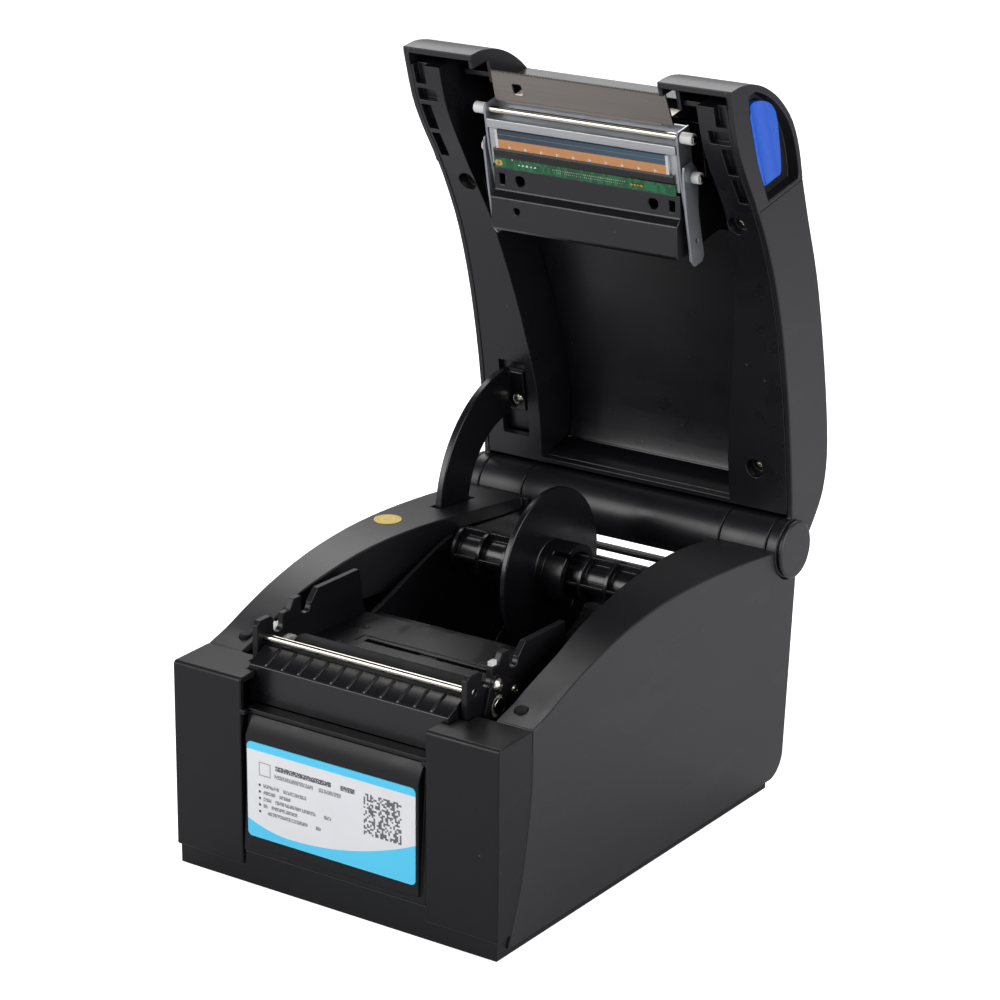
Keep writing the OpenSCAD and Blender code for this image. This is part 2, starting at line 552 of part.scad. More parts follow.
// Everything between the lid's lower edge and the inside of its skin
lid_inside = concat([for (p = lid_edge) if (p[0] > 6.4) p], [[192, 106], [193, 112], [196, 119]],
                    reverse([for (p = lid_top_in) if (p[0] > 10 && p[0] < 197) p + [0, -0.1]]));
module lid_inner_frame() color("#1b1b1d") lid_pose() difference() {
    intersection() {
        slab(lid_inside, [-in_w + 0.1, in_w - 0.1]);
        difference() {
            box([-in_w, in_w], [6.4, 197], [70, 140]);
            opening_plan(0.3, [60, 150]);
        }
    }
    // hollow above a 3 mm floor and behind a 2 mm inner wall
    difference() {
        slab(concat([for (p = lid_edge) if (p[0] > 12) p + [0, 3]], [[189, 108], [192, 118]],
                    reverse([for (p = lid_top_in) if (p[0] > 12 && p[0] < 192) p + [0, 5]])),
             [-in_w + 0.4, in_w - 0.4]);
        opening_plan(2.3, [60, 150]);
        for (p = screw_spots) post(p, [90, 150], 5.4);
        // solid block that carries the lid stay, and the thick rail with its pockets
        box([-72, -52], [148, 182], [100, 114]);
        both() box([60, 73], [7, 58], [80, 100.5]);
    }
    // four blind pockets beside each side wall
    both() for (p = rail_pockets) slab([[p[1], 80], [p[2], 80], [p[2], over(lid_edge, p[2]) + pocket_h],
                                        [p[1], over(lid_edge, p[1]) + pocket_h]], [p[0], 71.4]);
    for (p = screw_spots) {
        post(p, [90, over(lid_edge, p[1]) + screw_sink], 4);
        post(p, [90, 150], 1.3);
    }
    // pocket for the stay and its screw hole
    box([stay_x - 2.5, -51.5], [149, 182], [100, 109.7]);
    // room for the button and for the wall it slides in
    both() slab(inset(button_face, -0.35), [60.6, 75]);
    both() slab(concat(shift(recess_sill, [0, -2]), [[split_y + 0.3, 104], [split_y + 0.3, 140], [6, 140]]),
                [68.2, 75]);
    // long tapered recess beside the left rail
    plan([[-50, 100], [-55, 96], [-59, 64], [-57.5, 62], [-51, 98]], [90, 105.5]);
}
screw_spots = [[63, 65], [-63, 65], [58, 174.6]];
screw_sink = 5.3;
pocket_h = 3.2;
rail_pockets = [[66.4, 9.5, 18], [62.6, 20, 25.4], [66.8, 27.4, 39.4], [67.4, 41.4, 53]];

module roll_cover() color("#26262a") lid_pose() difference() {
    intersection() {
        slab(concat([for (p = back_in) if (p[0] > 80 && p[0] < 200) p - [0, 1]],
                    [[199, 112], [195.5, 108], [194, 110]],
                    reverse([for (p = back_in) if (p[0] > 80 && p[0] < 195) p - [0, 3]])), [-60, 60]);
        opening_plan(0.1, [60, 150]);
    }
    bar([-60, 60], [hinge_y, hinge_z], barrel_r + 0.02);
}
module hinge_caps() color("#333336") lid_pose() both() translate([half_w, hinge_y, hinge_z]) rotate([0, 90, 0])
    rotate_extrude() polygon([[0, 0], [11.4, 0], [11.4, 0.5], [barrel_r, 0.9], [barrel_r, 1.9], [11.2, 2.5],
                              [0, 2.5]]);

module stay_arm() color("#242427") lid_pose() difference() {
    union() {
        // the wider end stops against the underside of the deck when the lid is open
        translate([stay_x, hinge_y, hinge_z]) rotate([90, 0, 90]) linear_extrude(stay_t)
            polygon(concat(arc([0, 0], stay_r[1], 173, stay_stop, 24),
                           arc([0, 0], slot_r[1] + 2, stay_stop, 264, 3),
                           reverse(arc([0, 0], stay_r[0], 173, 264, 24))));
        // foot screwed to the lid
        box([stay_x, -52.5], [153, 171], [106.2, 109.6]);
    }
    post([-56, 166], [100, 115], 1.3);
}
module lid_screws() color("#cfcfca") lid_pose() {
    translate([-56, 166, 106.2]) rotate([180, 0, 0]) pan_screw(2.6, 3);
    for (p = screw_spots) translate([p[0], p[1], over(lid_edge, p[1]) + screw_sink]) rotate([180, 0, 0])
        pan_screw(2.6, 5);
}

// ---- Print head, drawn in the closed lid ----
blade_front = [11.6, 93.8];    // saw edge and root of the tear blade, [y, z]
blade_back = [25, 96];
blade_teeth = 60;
module tear_blade() color("#b9b6b0") lid_pose() {
    run = blade_back - blade_front;
    tip_w = 40;
    root_w = 41;
    translate([0, blade_front[0], blade_front[1]]) rotate([atan2(run[1], run[0]), 0, 0]) difference() {
        plan(concat([for (i = [0:2 * blade_teeth]) [-tip_w + tip_w * i / blade_teeth, (i % 2) * 0.8]],
                    [[root_w, norm(run)], [-root_w, norm(run)]]), [0, 0.8]);
        plan([[-31.5, 5.6], [-30.9, 5], [-27.6, 5], [-27, 5.6], [-27, 9.4], [-27.6, 10], [-30.9, 10],
              [-31.5, 9.4]], [-1, 2]);
    }
    // root flange screwed up into the lid
    box([-36, 36], [24.6, 25.4], [95.7, 110]);
}
module head_housing() color("#222225") lid_pose() difference() {
    union() {
        slab([[52.2, 92.4], [61.5, 91.4], [63.4, 88], [75.6, 86.2], [77.5, 87.6], [77.5, 130.4], [52.2, 127.6]],
             [-43.3, 43.3]);
        // carrier plate over the sprung head, with pegs that limit its travel
        box([-43.3, 43.3], [30, 53], [112, 114]);
        both() post([34, 45], [101.4 + head_travel, 112.5], 2);
    }
    slab([[54.4, 94.4], [62.6, 93.4], [64.6, 90.2], [75.3, 88.6], [75.3, 140], [54.4, 140]], [-41.8, 41.8]);
    both() post([31, 57], [80, 100], 2.2);
    both() slab([[54.8, 80], [54.8, 99], [59.2, 99], [59.2, 80]], [38.2, 40.8]);
    post([-31, 68], [80, 94], 1.4);
}
spring_z = [101.3, 112];
module coil(z, turns, r, wire) {
    steps = 16;
    n = turns * steps;
    sides = 6;
    pts = [for (i = [0:n]) for (k = [0:sides - 1]) let (a = 360 * i / steps, q = r + wire * cos(60 * k))
        [q * cos(a), q * sin(a), z[0] + wire + (z[1] - z[0] - 2 * wire) * i / n + wire * sin(60 * k)]];
    polyhedron(pts, concat([[for (k = [0:sides - 1]) k]], [[for (k = [sides - 1:-1:0]) n * sides + k]],
        [for (i = [0:n - 1]) for (k = [0:sides - 1]) [i * sides + k, (i + 1) * sides + k,
         (i + 1) * sides + (k + 1) % sides, i * sides + (k + 1) % sides]]));
}
module head_springs() color("#d0d0d0") lid_pose() for (x = [-26, 26]) translate([x, 41, 0])
    coil(spring_z, 6, 3.4, 0.45);
module head_bracket() color("#8d8f92") lid_pose() difference() {
    union() {
        // bridge and the two folded side plates
        box([-44.8, 44.8], [26.4, 51], [100, 101.2]);
        both() slab([[26.2, 101.2], [26.2, 93.6], [27.6, 92.2], [44, 92.2], [66, 94], [69, 96.4], [69, 98.6],
                     [52, 101.2]], [43.8, 44.8]);
        both() slab([[40, 98], [40, 92.4], [43, 91.4], [60, 91], [79, 91.4], [82, 93.4], [82, 99], [80, 100.6],
                     [60, 99.6], [50, 101.2], [44, 101.2]], [45.6, 46.6]);
        both() bar([44.7, 45.7], [54, 96], 2);
    }
    for (b = [bush_a, bush_b]) bar([-60, 60], b, 1.5);
    both() bar([44.8, 60], [72, 96.4], 1);
}
module heat_sink() color("#c9cacb") lid_pose() difference() {
    union() {
        box([-43.6, 43.6], [31.6, 51], [92.6, 99.8]);
        box([-43.6, 43.6], [31.6, 35.2], [head_z + 0.2, 93]);
    }
    bar([-60, 60], bush_b, 1.5);
    for (x = [-20, 20]) post([x, 41], [90, 110], 1.5);
    // cooling grooves
    for (i = [0:2]) box([-50, 50], [34 + 3.4 * i, 35.4 + 3.4 * i], [96.6, 100]);
}
module ceramic_strip() color("#d08a4e") lid_pose()
    box([-ceramic_len / 2, ceramic_len / 2], [35.6, 43.4], [head_z, 92.6]);
module driver_board() color("#1f7a45") lid_pose() {
    box([-42, 42], [47.6, 52], [91.6, 92.5]);
    slab([[43.6, 92.6], [43.6, 91.6], [44.4, head_z - 0.1], [46.8, head_z - 0.1], [47.5, 91.5], [47.5, 92.6]],
         [-41.6, 41.6]);
}
module head_rods() color("#e2e2e2") lid_pose() for (b = [bush_a, bush_b]) bar([-50.9, 50.9], b, 1.5);
module head_bushes() color("#f0f0ec") lid_pose() both() {
    difference() {
        bar([44.9, 50.4], bush_a, 2.3);
        bar([40, 60], bush_a, 1.5);
    }
    difference() {
        bar([46.7, 50.4], bush_b, 2.3);
        bar([40, 60], bush_b, 1.5);
    }
}

// ---- Controls in the lid ----
button_face = concat(curve([[15.4, 99], [14.6, 104], [15.6, 109], [18.6, 113.6], [23, 116.4]]),
                     curve([[28, 117.2], [44, 117.2], [48.6, 115.6], [50.4, 110], [48.6, 104.6], [46, 102.9]]),
                     [[37, 100.4]], [[18, 97.8]]);
module release_button(side) color("#2f6fd0") lid_pose() mirror([side < 0 ? 1 : 0, 0, 0]) difference() {
    slab(button_face, [61 + release_travel, button_x]);
    // finger scoop, running down the length of the cap
    translate([button_x + 5.8, 0, 101.5]) rotate([-80, 0, 0]) cylinder(h = 80, r = 8);
}
module release_button_right() release_button(1);
module release_button_left() release_button(-1);
module feed_key() color("#8f9194") lid_pose() translate([20, 40, 0]) rotate_extrude()
    polygon([[0, 120], [5, 120], [5, 130.4], [4.4, 130.2 + key_travel], [3, 130.6 + key_travel],
             [0, 130.8 + key_travel]]);
module status_lights() color("#8fd46a") lid_pose() for (i = [0:2])
    translate([-20 + 5 * i, 40, 122]) cylinder(h = 8.4, r = 1.2);

base_tray();
rubber_feet();
tray_screws();
main_housing();
front_bezel();
front_panel();
front_label();
output_platform();
tear_rod();
frame_left();
frame_right();
frame_tie();
retaining_plate();
frame_screws();
platen_bushes();
paper_guide();
sensor_rail();
sensor_slider();
paper_bay();
motor_case();
main_board();
board_chips();
io_plate();
dc_jack();
usb_socket();
serial_socket();
drawer_socket();
switch_frame();
switch_rocker();
hinge_pins();
deck_bumpers();
deck_sticker();
platen_shaft();
platen_rubber();
platen_gear();
idler_gear();
motor_pinion();
roll_spindle();
roll_flange();
flange_collar();
lid_cover();
lid_front_cover();
lid_inner_frame();
roll_cover();
hinge_caps();
stay_arm();
lid_screws();
tear_blade();
head_housing();
head_springs();
head_bracket();
heat_sink();
ceramic_strip();
driver_board();
head_rods();
head_bushes();
release_button_right();
release_button_left();
feed_key();
status_lights();
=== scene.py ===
# %% [markdown]
# # A label printer with its roll cover open
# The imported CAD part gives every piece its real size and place. This lesson dresses that part: it rounds the
# moulded edges, gives each surface a finish made only of nodes, adds the small things that repeat, and then
# sets up the floor, the lights and the camera.

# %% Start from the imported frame
import json
import math

import bmesh
import bpy
from mathutils import Matrix, Vector


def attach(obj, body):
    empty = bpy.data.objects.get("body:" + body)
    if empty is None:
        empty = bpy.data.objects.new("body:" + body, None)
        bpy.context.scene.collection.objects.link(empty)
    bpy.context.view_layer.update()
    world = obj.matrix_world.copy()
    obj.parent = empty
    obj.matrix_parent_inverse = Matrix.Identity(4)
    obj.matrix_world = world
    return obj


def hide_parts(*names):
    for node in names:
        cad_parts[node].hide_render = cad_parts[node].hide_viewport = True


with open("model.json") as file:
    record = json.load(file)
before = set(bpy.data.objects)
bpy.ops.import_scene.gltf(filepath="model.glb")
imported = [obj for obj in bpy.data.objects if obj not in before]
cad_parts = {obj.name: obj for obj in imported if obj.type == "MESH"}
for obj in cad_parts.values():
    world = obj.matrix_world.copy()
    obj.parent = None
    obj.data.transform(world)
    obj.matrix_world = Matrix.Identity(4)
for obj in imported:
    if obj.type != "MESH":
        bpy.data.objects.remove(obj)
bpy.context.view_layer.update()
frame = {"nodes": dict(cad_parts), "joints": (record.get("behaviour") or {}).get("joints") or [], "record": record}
nodes, record = frame["nodes"], frame["record"]
body_of = {node: body for body, members in record["behaviour"]["bodies"].items() for node in members}
slot_of = {part["node"]: part["material_slot"] for part in record["subparts"]}

# %% [markdown]
# ## Two sets of coordinates
# The printer was drawn in millimetres with the lid shut, in front of a pair of pillars at y = 0. The scene is
# in metres with the lid open. The hinge is the one point that both know, so `at` and `on_lid` carry a drawn
# point into the scene, the second one by turning it open with the lid.

# %% Drawing millimetres to scene metres
MM = 0.001
drawn_hinge = Vector((0, 205.2, 100.5))
lid_joint = next(j for j in frame["joints"] if j["name"] == "lid_hinge")
hinge = Vector(lid_joint["pos_m"])
lid_angle = math.radians(lid_joint["range_deg"][1])
base_place = Matrix.Translation(hinge) @ Matrix.Scale(MM, 4) @ Matrix.Translation(-drawn_hinge)
lid_place = (Matrix.Translation(hinge) @ Matrix.Rotation(-lid_angle, 4, "X") @ Matrix.Scale(MM, 4)
             @ Matrix.Translation(-drawn_hinge))
print("hinge at", tuple(round(v, 4) for v in hinge), "lid open by", round(math.degrees(lid_angle), 1))

# %% [markdown]
# ## Writing shader maths as plain sums
# A finish here is a small tree of nodes. `Value` wraps one socket and overloads the arithmetic signs, so
# `0.4 + cloud * 0.1` adds its own Math nodes. `Finish.node` is the only place that makes a node.

# %% Value and Finish
class Value:
    def __init__(self, finish, made, out=0):
        self.finish, self.made, self.socket = finish, made, made.outputs[out]

    def pick(self, out):
        return Value(self.finish, self.made, out)

    def math(self, operation, other=None, flip=False):
        pair = [self] if other is None else [other, self] if flip else [self, other]
        return self.finish.node("ShaderNodeMath", {"operation": operation}, dict(enumerate(pair)))

    def __add__(self, other): return self.math("ADD", other)
    def __radd__(self, other): return self.math("ADD", other, True)
    def __sub__(self, other): return self.math("SUBTRACT", other)
    def __rsub__(self, other): return self.math("SUBTRACT", other, True)
    def __mul__(self, other): return self.math("MULTIPLY", other)
    def __rmul__(self, other): return self.math("MULTIPLY", other, True)
    def __truediv__(self, other): return self.math("DIVIDE", other)
    def __gt__(self, other): return self.math("GREATER_THAN", other)
    def __lt__(self, other): return self.math("LESS_THAN", other)
    def between(self, low, high): return (self > low) * (self < high)
    def at_least(self, other): return self.math("MAXIMUM", other)
    def floor(self): return self.math("FLOOR")
    def distance(self): return self.math("ABSOLUTE")


class Finish:
    def __init__(self, name):
        self.material = bpy.data.materials.new(name)
        self.material.use_nodes = True
        self.tree = self.material.node_tree
        self.tree.nodes.clear()
        self.shader = self.node("ShaderNodeBsdfPrincipled").made
        surface = self.tree.nodes.new("ShaderNodeOutputMaterial")
        self.tree.links.new(self.shader.outputs[0], surface.inputs["Surface"])
        self.place = self.node("ShaderNodeTexCoord", out=3)

    def node(self, kind, settings=None, sockets=None, out=0):
        made = self.tree.nodes.new(kind)
        for key, value in (settings or {}).items():
            if key == "stops":
                while len(made.color_ramp.elements) < len(value):
                    made.color_ramp.elements.new(1.0)
                for element, (spot, colour) in zip(made.color_ramp.elements, value):
                    element.position, element.color = spot, colour
            else:
                setattr(made, key, value)
        for key, value in (sockets or {}).items():
            if isinstance(value, Value):
                self.tree.links.new(value.socket, made.inputs[key])
            else:
                made.inputs[key].default_value = value
        return Value(self, made, out)

    def set(self, **sockets):
        for key, value in sockets.items():
            target = self.shader.inputs[key.replace("_", " ").title().replace("Ior", "IOR")]
            if isinstance(value, Value):
                self.tree.links.new(value.socket, target)
            else:
                target.default_value = value
        return self

    def mapped(self, turn=(0, 0, 0), move=(0, 0, 0), scale=(1, 1, 1)):
        return self.node("ShaderNodeMapping", {"vector_type": "POINT"},
                         {"Vector": self.place, "Rotation": turn, "Location": move, "Scale": scale})

    def noise(self, scale, detail=2, vector=None, distortion=0.0):
        return self.node("ShaderNodeTexNoise", None, {"Vector": vector or self.place, "Scale": scale,
                                                      "Detail": detail, "Distortion": distortion})

    def axes(self, vector):
        split = self.node("ShaderNodeSeparateXYZ", None, {0: vector})
        return split, split.pick(1), split.pick(2)

    def join(self, x=0.0, y=0.0, z=0.0):
        return self.node("ShaderNodeCombineXYZ", None, {0: x, 1: y, 2: z})

    def mix(self, factor, low, high):
        return self.node("ShaderNodeMix", {"data_type": "RGBA"}, {0: factor, 6: low, 7: high}, out=2)

    def bump(self, height, strength, distance):
        self.set(normal=self.node("ShaderNodeBump", None,
                                  {"Height": height, "Strength": strength, "Distance": distance}))
        return self


def rgb(red, green, blue):
    """A colour as seen on a screen, 0 to 255, turned into the linear light that shaders use."""
    seen = (red, green, blue)
    return tuple(((c / 255 + 0.055) / 1.055) ** 2.4 if c > 10 else c / 3294 for c in seen) + (1,)


print("shader helpers ready")

# %% [markdown]
# ## Moulded black plastic
# The covers are black ABS from a spark-eroded mould: satin, with a grain finer than a millimetre, faint
# clouding where the melt flowed, and places that hands have polished. The inside parts come from a smoother
# mould, so they get less grain and a tighter shine. The front bezel, front panel and base tray take a darker
# copy of the same black with a weaker reflection, which is painted shade for the dim front. One function
# makes the whole family.

# %% Plastic family
DUST_GREY = rgb(120, 120, 122)


def moulded(name, dark, light, rough, grain=1500, depth=0.12, coat=0.0, specular=0.5):
    """A plastic between two tones. grain and depth are the spark texture's fineness and strength."""
    finish = Finish(name)
    cloud = finish.noise(16, 3)
    spark = finish.noise(grain, 2)
    rubbed = finish.noise(70, 4, finish.mapped(scale=(1, 0.3, 1)), 0.4)
    specks = finish.node("ShaderNodeTexVoronoi", {"feature": "F1"}, {"Vector": finish.place, "Scale": 120.0})
    dust = (specks < 0.045) * (finish.noise(40, 1) > 0.56)
    tone = finish.mix(cloud * 0.55 + spark * 0.45, dark, light)
    finish.set(base_color=finish.mix(dust * 0.35, tone, DUST_GREY),
               roughness=rough + (cloud - 0.5) * 0.16 - (rubbed > 0.6) * 0.04 + dust * 0.2,
               coat_weight=coat, specular_ior_level=specular)
    return finish.bump(spark, depth, 0.0003).material


black_abs = moulded("satin_black_abs", rgb(20, 19, 22), rgb(28, 27, 31), 0.38)
# painted shade: a darker, less reflective copy of the satin black for the front covers, which get little light
front_painted_shade_abs = moulded("front_black_abs", rgb(14, 14, 16), rgb(20, 20, 23), 0.42, specular=0.3)
inner_black = moulded("smooth_black_abs", rgb(12, 11, 14), rgb(19, 18, 22), 0.28, 900, 0.06)
lid_black = moulded("lid_liner_black", rgb(15, 14, 18), rgb(23, 22, 27), 0.32, 1100, 0.08)
ribbed_black = moulded("roll_holder_black", rgb(12, 11, 14), rgb(22, 21, 25), 0.28, 700, 0.1)
chip_black = moulded("socket_black", rgb(14, 14, 15), rgb(24, 24, 26), 0.48, 1800, 0.15)
rubber = moulded("platen_rubber", rgb(12, 12, 13), rgb(24, 24, 25), 0.68, 1300, 0.3, specular=0.3)
button_blue = moulded("button_blue", rgb(6, 70, 176), rgb(16, 98, 214), 0.30, 800, 0.04, coat=0.2)
key_grey = moulded("key_grey", rgb(120, 122, 125), rgb(142, 144, 147), 0.42)
nylon_white = moulded("natural_nylon", rgb(206, 206, 203), rgb(228, 228, 226), 0.38, 600, 0.08)
rocker_red = moulded("rocker_red", rgb(120, 14, 14), rgb(158, 26, 24), 0.24, 700, 0.04, coat=0.3)
sensor_dark = moulded("smoked_window", rgb(44, 14, 16), rgb(66, 22, 24), 0.16, 500, 0.03, coat=0.5)
light_green = moulded("light_pipe_green", rgb(120, 190, 96), rgb(150, 216, 122), 0.25, 500, 0.03)
print(len(bpy.data.materials), "plastic finishes")

# %% [markdown]
# ## Rolled, drawn and plated metal
# Sheet steel keeps the fine lines of its rolling direction, and a ground rod keeps rings. Both are noise that
# is stretched along one axis and fed to roughness and bump, with a cloudy tarnish under it.

# %% Metal family
def metal(name, dark, light, rough, stretch=(0.02, 1, 1), grain=900, depth=0.1, metallic=1.0):
    """A metal between two tones. stretch is small along the axis that its fine lines follow."""
    finish = Finish(name)
    lines = finish.noise(grain, 3, finish.mapped(scale=stretch))
    tarnish = finish.noise(24, 4)
    finish.set(base_color=finish.mix(lines * 0.6 + tarnish * 0.4, dark, light), metallic=metallic,
               roughness=rough + (lines - 0.5) * 0.22 + (tarnish - 0.5) * 0.14)
    return finish.bump(lines, depth, 0.0001).material


chrome_rod = metal("ground_chrome", rgb(186, 182, 172), rgb(204, 200, 190), 0.16, (1, 0.1, 0.1), 90, 0.01)
blade_steel = metal("blade_steel", rgb(126, 120, 114), rgb(158, 152, 146), 0.36)
steel_bright = metal("bracket_steel", rgb(140, 143, 148), rgb(166, 169, 174), 0.36, (1, 0.04, 1), 120, 0.015,
                     0.7)
steel_black = metal("blackened_steel", rgb(12, 12, 14), rgb(22, 22, 26), 0.34, (1, 0.06, 1), 300, 0.04, 0.2)
plate_dark = metal("dark_plate", rgb(20, 20, 23), rgb(34, 34, 38), 0.34, (1, 0.05, 1), 300, 0.04, 0.4)
screw_steel = metal("zinc_screw", rgb(180, 176, 162), rgb(218, 214, 202), 0.24, (1, 1, 1), 900, 0.08)
aluminium = metal("extruded_aluminium", rgb(150, 152, 156), rgb(206, 208, 210), 0.32, (0.01, 1, 1), 900, 0.2,
                  0.85)
brass = metal("turned_brass", rgb(176, 134, 62), rgb(214, 172, 92), 0.26, (0.1, 1, 1))
motor_grey = metal("motor_can", rgb(76, 77, 82), rgb(112, 113, 118), 0.4, (1, 1, 1), 700, 0.1, 0.6)
tinned_contact = metal("plated_contact", rgb(196, 158, 82), rgb(236, 202, 128), 0.2, (1, 1, 1))
print("metals:", ", ".join(m.name for m in (chrome_rod, blade_steel, steel_bright, aluminium, brass)))

# %% [markdown]
# ## Circuit boards
# Solder mask is a glossy green film over copper tracks. A grid of cells, each switched on or off at random,
# makes the raised tracks, and small bright dots stand for the holes that join the layers.

# %% Board finish
def lid_millimetres(finish):
    """The shaded point, in the drawing's millimetres with the lid shut."""
    turn = Matrix.Rotation(lid_angle, 3, "X")
    move = drawn_hinge - turn @ (hinge / MM)
    return finish.axes(finish.mapped((lid_angle, 0, 0), move, (1000, 1000, 1000)))


def board(name, dark, light, chips_to=None):
    """chips_to: on the print head, everything in front of this y on the drawing is black chip resin."""
    finish = Finish(name)
    x, y, z = finish.axes(finish.mapped(scale=(1000, 1000, 1000)))
    cell = finish.join((x / 1.3).floor(), ((y + z) / 2.1).floor())
    track = finish.node("ShaderNodeTexWhiteNoise", {"noise_dimensions": "3D"}, {"Vector": cell}) > 0.55
    dots = finish.node("ShaderNodeTexVoronoi", {"feature": "F1"}, {"Vector": finish.place, "Scale": 260.0})
    hole = (dots < 0.12) * (finish.noise(90, 1) > 0.58)
    mask = finish.mix(track * 0.5 + finish.noise(300, 2) * 0.2, dark, light)
    if chips_to:
        bare = lid_millimetres(finish)[1] > chips_to
        mask, hole = finish.mix(bare, rgb(9, 9, 11), mask), hole * bare
    finish.set(base_color=finish.mix(hole, mask, rgb(206, 208, 190)), metallic=hole * 0.8,
               roughness=0.3 + hole * 0.1 - track * 0.06)
    return finish.bump(track, 0.25, 0.00004).material


board_green = board("solder_mask_green", rgb(12, 84, 48), rgb(34, 138, 84))
head_green = board("head_board_green", rgb(8, 74, 42), rgb(24, 118, 70), 47.55)
print("board finishes:", board_green.name, head_green.name)

# %% [markdown]
# ## The heater strip
# The head's ceramic is striped along its length: a dark glass glaze, in which the heating dots sit, and a
# copper-coloured lead field with small pale marks along its edge. The stripes follow the lid's own
# coordinates, which a Mapping node finds by turning the open lid's position back to where it was drawn.

# %% Glazed ceramic
def heater_strip():
    finish = Finish("glazed_ceramic")
    x, y, z = lid_millimetres(finish)
    streak = finish.noise(30, 3, finish.mapped(scale=(0.3, 4, 4)))
    glaze = finish.mix(streak, rgb(12, 22, 56), rgb(44, 54, 62))
    glaze = finish.mix((x + 40).math("MULTIPLY", 1 / 80) * 0.7, glaze, rgb(52, 92, 110))
    copper = finish.mix(finish.noise(200, 2) * 0.5 + streak * 0.3, rgb(188, 122, 66), rgb(214, 156, 102))
    leads = (x * 3).math("FRACT") > 0.5
    copper = finish.mix(leads * 0.16, copper, rgb(150, 92, 56))
    far_end = x.distance() > 38.9
    colour = finish.mix(y > 39.6, glaze, copper)
    colour = finish.mix(y.between(37.3, 37.55), colour, rgb(96, 110, 128))
    finish.set(base_color=finish.mix(far_end, colour, rgb(206, 208, 210)),
               roughness=0.16 + (y > 39.6) * 0.16 + streak * 0.06, coat_weight=0.3)
    return finish.bump(leads * (y > 39.6), 0.15, 0.00003).material


ceramic = heater_strip()
print("ceramic finish:", ceramic.name)

# %% [markdown]
# ## The printed label
# The front label is a plain film: white with a blue band and a blue wave. What is printed on it is only
# hinted at, with grey dashes for lines of text, an empty square for an icon and a field of random cells,
# so nothing on it can be read. Everything is a formula of the label's own millimetres, u across and v up.

# %% Label film
LABEL = (-39, 39, 21.5, 60)  # left, right, bottom and top on the drawing, mm


def label_film():
    finish = Finish("label_film")
    move = drawn_hinge - hinge / MM
    x, _, z = finish.axes(finish.mapped(move=move, scale=(1000, 1000, 1000)))
    u, v = x - LABEL[0], z - LABEL[2]
    paper = finish.mix(finish.noise(60, 3), rgb(228, 229, 232), rgb(238, 239, 242))
    blue = finish.mix(finish.noise(30, 2), rgb(78, 206, 250), rgb(92, 216, 255))
    left, right = (20 - u).at_least(0.0), (u - 20).at_least(0.0)
    wave = 3.0 + left * left * 0.0105 + right * right * 0.00386
    colour = finish.mix((v < wave) + (v > 35.4), paper, blue)
    grey = rgb(92, 94, 98)

    def dashes(low, height, start, end, pitch, seed):
        word = finish.node("ShaderNodeTexWhiteNoise", {"noise_dimensions": "1D"},
                           {"W": (u / pitch).floor() + seed})
        ragged = finish.noise(1.0, 1, finish.join(u * 2.2, v * 1.4, seed)) > 0.40
        return v.between(low, low + height) * u.between(start, end) * (word > 0.16) * ragged

    colour = finish.mix(dashes(29.2, 2.0, 13.5, 50.5, 2.2, 3.1) * 0.95, colour, rgb(60, 62, 66))
    colour = finish.mix(dashes(26.0, 1.7, 13.0, 48.0, 2.6, 7.7) * 0.7, colour, grey)
    for row, end in enumerate((28.0, 20.5, 39.5, 23.7, 34.7)):
        low = 21.0 - 2.68 * row
        colour = finish.mix(dashes(low, 1.5, 7.6, end, 1.9, 11.3 + row) * 0.75, colour, grey)
        du, dv = u - 5.9, v - (low + 0.75)
        colour = finish.mix(du * du + dv * dv < 0.3, colour, rgb(60, 62, 66))
    # an empty square in place of an icon
    du, dv = (u - 8.4).distance(), (v - 28.4).distance()
    ring = du.at_least(dv).between(2.4, 2.75)
    colour = finish.mix(ring * 0.8, colour, grey)
    # random cells in place of a code
    cell = finish.join(((u - 54.6) / 0.75).floor(), ((v - 14.6) / 0.75).floor(), 5.0)
    dark = finish.node("ShaderNodeTexWhiteNoise", {"noise_dimensions": "3D"}, {"Vector": cell}) > 0.5
    block = u.between(54.6, 71.85) * v.between(14.6, 31.1)
    colour = finish.mix(block * dark * 0.9, colour, rgb(64, 64, 68))
    finish.set(base_color=colour, roughness=0.34 + finish.noise(80, 3) * 0.1, coat_weight=0.15)
    return finish.bump(finish.noise(500, 2), 0.04, 0.0001).material


label_paper = label_film()
print("label is", LABEL[1] - LABEL[0], "by", LABEL[3] - LABEL[2], "mm")

# %% [markdown]
# ## The gold seal
# A round foil sticker sits on the left of the deck. Its rings and ticks are measured from its centre, and
# there is no lettering on it.

# %% Foil finish
SEAL = (-66.2, 124.5)  # its middle on the drawing, mm


def gold_foil():
    finish = Finish("gold_foil")
    move = drawn_hinge - hinge / MM
    x, y, _ = finish.axes(finish.mapped(move=move, scale=(1000, 1000, 1000)))
    dx, dy = x - SEAL[0], y - SEAL[1]
    radius = (dx * dx + dy * dy).math("SQRT")
    around = dy.math("ARCTAN2", dx) * (28 / (2 * math.pi))
    rings = radius.between(4.75, 5.0) + radius.between(2.9, 3.05)
    ticks = radius.between(3.4, 4.4) * ((around.math("FRACT")).distance() > 0.55)
    bars = (radius < 2.3) * ((dy * 1.3).math("FRACT").distance() > 0.62)
    print_mask = (rings + ticks + bars).math("MINIMUM", 1.0)
    foil = finish.mix(finish.noise(220, 3), rgb(206, 178, 92), rgb(232, 208, 128))
    finish.set(base_color=finish.mix(print_mask * 0.75, foil, rgb(132, 96, 34)), metallic=0.45,
               roughness=0.36 + finish.noise(300, 2) * 0.16)
    return finish.bump(print_mask, 0.2, 0.00005).material


gold = gold_foil()
print("foil finish:", gold.name)

# %% [markdown]
# ## Every CAD node gets its finish
# The record names a slot for each node. Most nodes take their slot's finish, and a few take a closer one.

